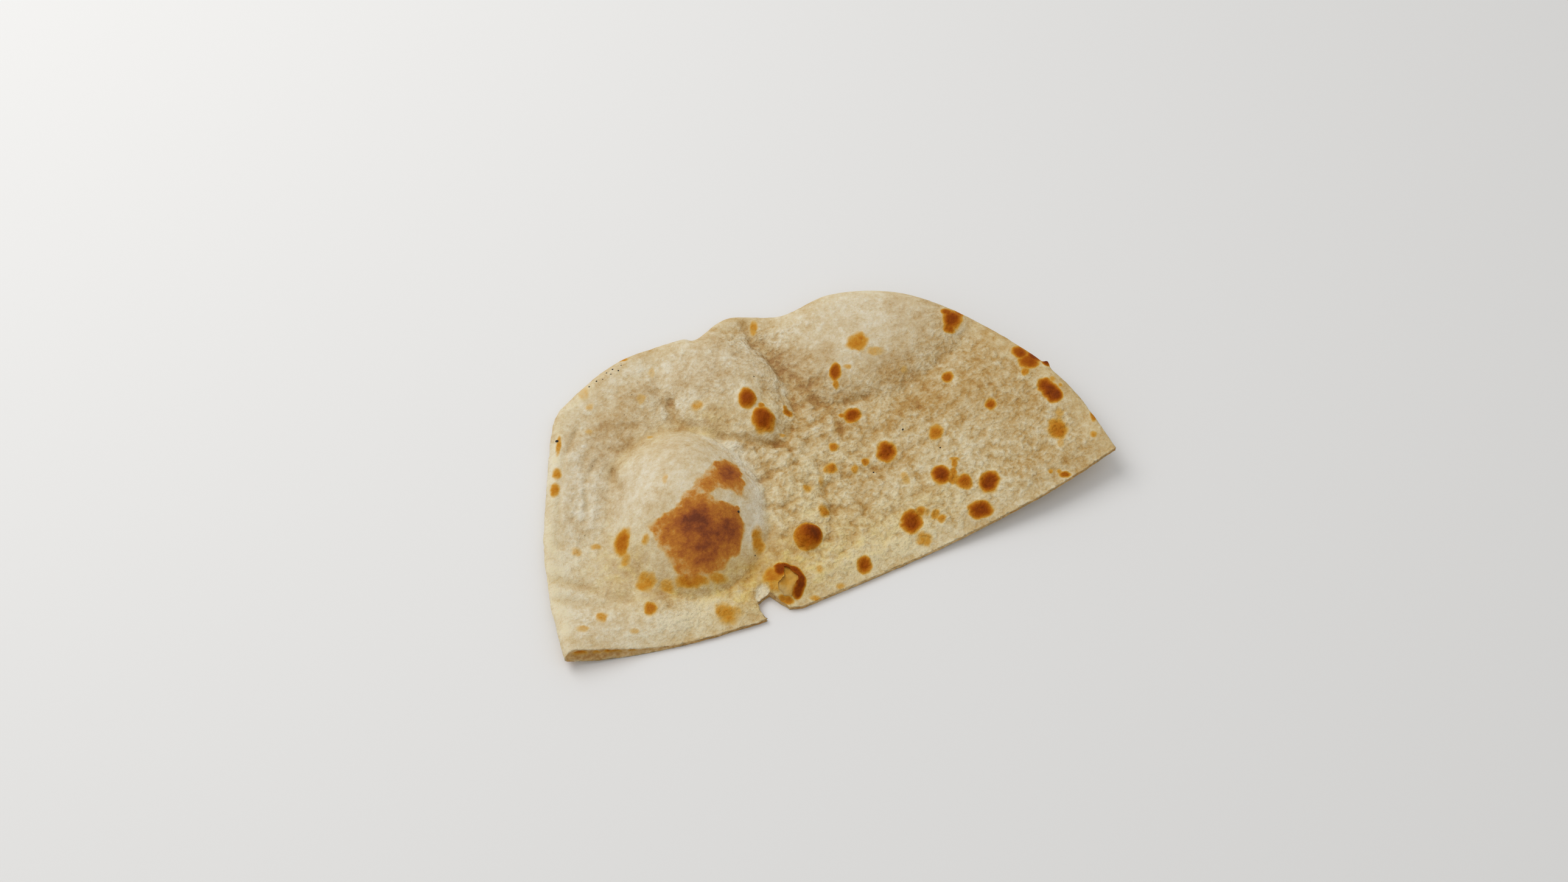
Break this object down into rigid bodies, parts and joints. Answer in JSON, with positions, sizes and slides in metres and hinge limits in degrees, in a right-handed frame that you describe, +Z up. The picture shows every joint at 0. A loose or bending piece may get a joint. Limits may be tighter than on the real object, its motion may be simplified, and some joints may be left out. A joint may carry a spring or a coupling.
{
  "type": "half naan",
  "caption": "Half of a round naan flatbread, cut straight across, with a domed bubble, broad pillows, scorched blisters and a torn notch in the cut edge.",
  "frame": {"origin": "under the middle of the bread's box, on the surface it rests on", "axes": "+X along the knife cut from its thick end to its lifted end, +Y from the cut to the round edge, +Z up from the underside"},
  "size_m": [0.2676, 0.16, 0.0236],
  "materials": {
    "bread": "matte baked crust with scorch marks"
  },
  "bodies": {
    "root": {"naan": "bread"}
  },
  "joints": []
}
